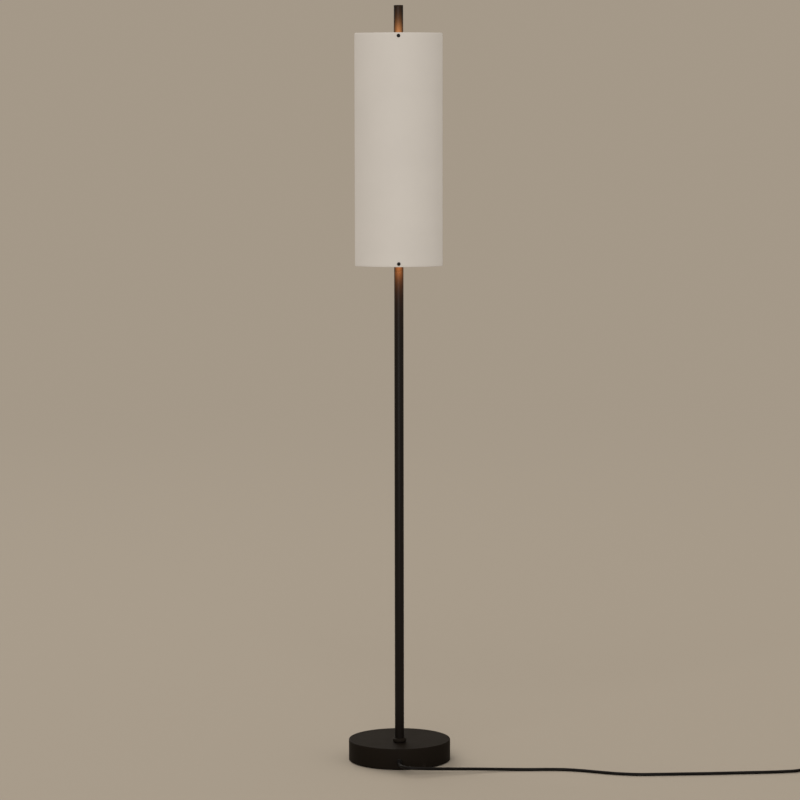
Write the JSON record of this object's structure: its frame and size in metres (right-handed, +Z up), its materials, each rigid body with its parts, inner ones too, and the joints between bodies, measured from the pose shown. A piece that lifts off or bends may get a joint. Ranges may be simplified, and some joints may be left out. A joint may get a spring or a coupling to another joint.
{
  "type": "column floor lamp",
  "caption": "Slim floor lamp: round weighted foot, two-part swivelling stem with a light strip, a curved sheet reflector in front of it, corded foot switch and plug.",
  "frame": {"origin": "on the floor, under the centre of the round foot", "axes": "+Z up along the stem; -Y is the front, where the curved sheet faces and the cord leaves; +X is to the viewer's right"},
  "size_m": [1.1725, 0.2533, 1.478],
  "materials": {
    "foot_paint": "satin powder coat, brown-black",
    "cast_iron": "as cast",
    "plate_steel": "black coat",
    "foot_rubber": "soft, matte",
    "zinc_steel": "zinc plated",
    "supply_plastic": "white moulded case",
    "clamp_plastic": "grey moulded bar",
    "cord_sheath": "black flexible sheath",
    "cord_moulding": "black flexible moulding",
    "core_insulation": "brown and blue insulation",
    "lead_sheath": "white sheath",
    "stem_paint": "satin black powder coat",
    "machined_steel": "turned",
    "bearing_brass": "turned",
    "black_nylon": "black nylon",
    "spring_steel": "hardened",
    "sink_aluminium": "extruded",
    "board_white": "white solder mask",
    "chip_yellow": "phosphor",
    "opal_diffuser": "opal, lit from behind",
    "sheet_paint": "warm white satin powder coat",
    "black_screw": "black oxide",
    "switch_plastic": "fine texture, black",
    "button_plastic": "black",
    "contact_plastic": "cream moulding with screw terminals",
    "pin_metal": "nickel plated"
  },
  "bodies": {
    "stand": {"base_cover": "foot_paint", "base_weight": "cast_iron", "bottom_plate": "plate_steel", "foot_ring": "foot_rubber", "plate_screws": "zinc_steel", "power_supply": "supply_plastic", "supply_screws": "zinc_steel", "cord_clamp": "clamp_plastic", "clamp_screws": "zinc_steel", "cord_relief": "cord_moulding", "inner_cord": "cord_sheath", "mains_wires": "core_insulation", "foot_collar": "foot_paint", "stem_foot_plug": "machined_steel", "stem_washer": "zinc_steel", "stem_nut": "zinc_steel", "lower_stem": "stem_paint", "lower_lead": "lead_sheath", "swivel_socket": "bearing_brass", "friction_washer": "black_nylon", "cord_run": "cord_sheath", "switch_relief_in": "cord_moulding", "switch_lower_shell": "switch_plastic", "switch_upper_shell": "switch_plastic", "switch_contacts": "contact_plastic", "switch_wires": "core_insulation", "switch_spring": "spring_steel", "switch_screws": "zinc_steel", "switch_relief_out": "cord_moulding", "cord_switch_tail": "cord_sheath", "cord_coil": "cord_sheath", "coil_tie": "black_nylon", "cord_plug_tail": "cord_sheath", "plug_body": "cord_moulding", "plug_pins": "pin_metal", "plug_sleeves": "cord_moulding"},
    "light_column": {"swivel_spigot": "machined_steel", "stop_pin": "spring_steel", "spring_washer": "spring_steel", "retaining_ring": "spring_steel", "upper_stem": "stem_paint", "upper_lead": "lead_sheath", "heat_sink": "sink_aluminium", "light_board": "board_white", "light_chips": "chip_yellow", "diffuser": "opal_diffuser", "end_cap": "black_nylon", "lower_spacer": "stem_paint", "upper_spacer": "stem_paint", "shade": "sheet_paint", "shade_screws": "black_screw"},
    "foot_button": {"switch_button": "button_plastic"}
  },
  "joints": [
    {"name": "column_swivel", "type": "hinge", "parent": "stand", "child": "light_column", "pos_m": [0, -0.033, 0.966], "axis": [0, 0, 1], "range_deg": [-155, 155]},
    {"name": "button_press", "type": "slide", "parent": "stand", "child": "foot_button", "axis": [0, 0, -1], "range_m": [0, 0.003], "stiffness_N_per_m": 600, "springref_m": -0.003, "deforming": ["switch_spring"]}
  ]
}
